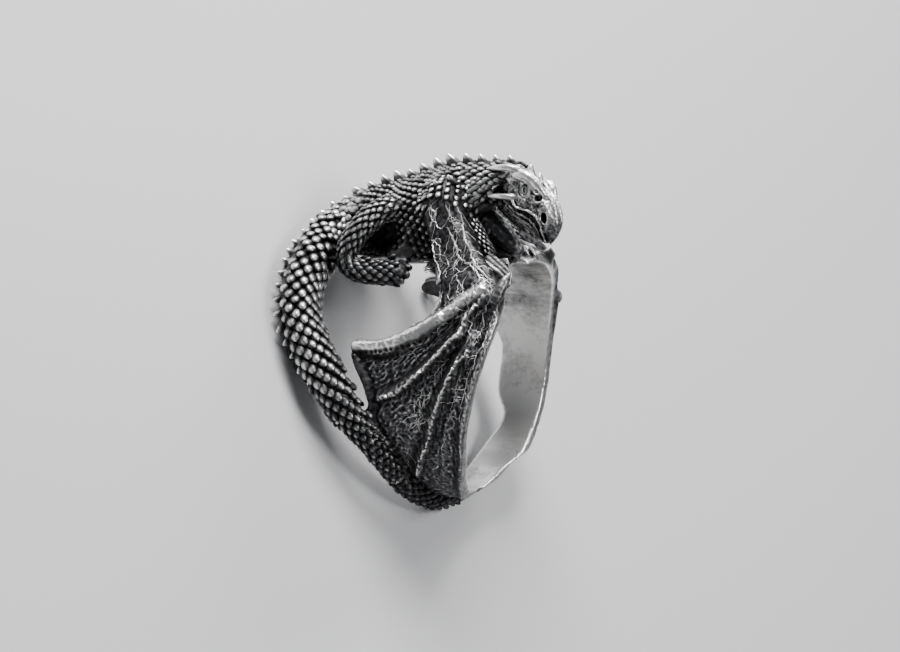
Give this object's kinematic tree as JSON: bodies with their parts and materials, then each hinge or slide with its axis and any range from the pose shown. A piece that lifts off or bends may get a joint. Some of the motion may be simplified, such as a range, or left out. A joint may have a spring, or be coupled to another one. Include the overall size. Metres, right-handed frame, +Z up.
{
  "type": "dragon ring",
  "caption": "Finger ring cast in oxidised silver as a crouching dragon, its folded wings and curling tail closing round the finger.",
  "frame": {"origin": "on the surface that the ring lies on, under the middle of its bounding box", "axes": "+Z up, +X from the dragon's back towards the band under the finger, -Y the side that the tail and the near wing show"},
  "size_m": [0.0284, 0.0268, 0.0208],
  "materials": {
    "oxidised_silver": "cast silver, blackened in the recesses, worn bright on the ridges and polished inside"
  },
  "bodies": {
    "root": {"dragon_ring": "oxidised_silver"}
  },
  "joints": []
}
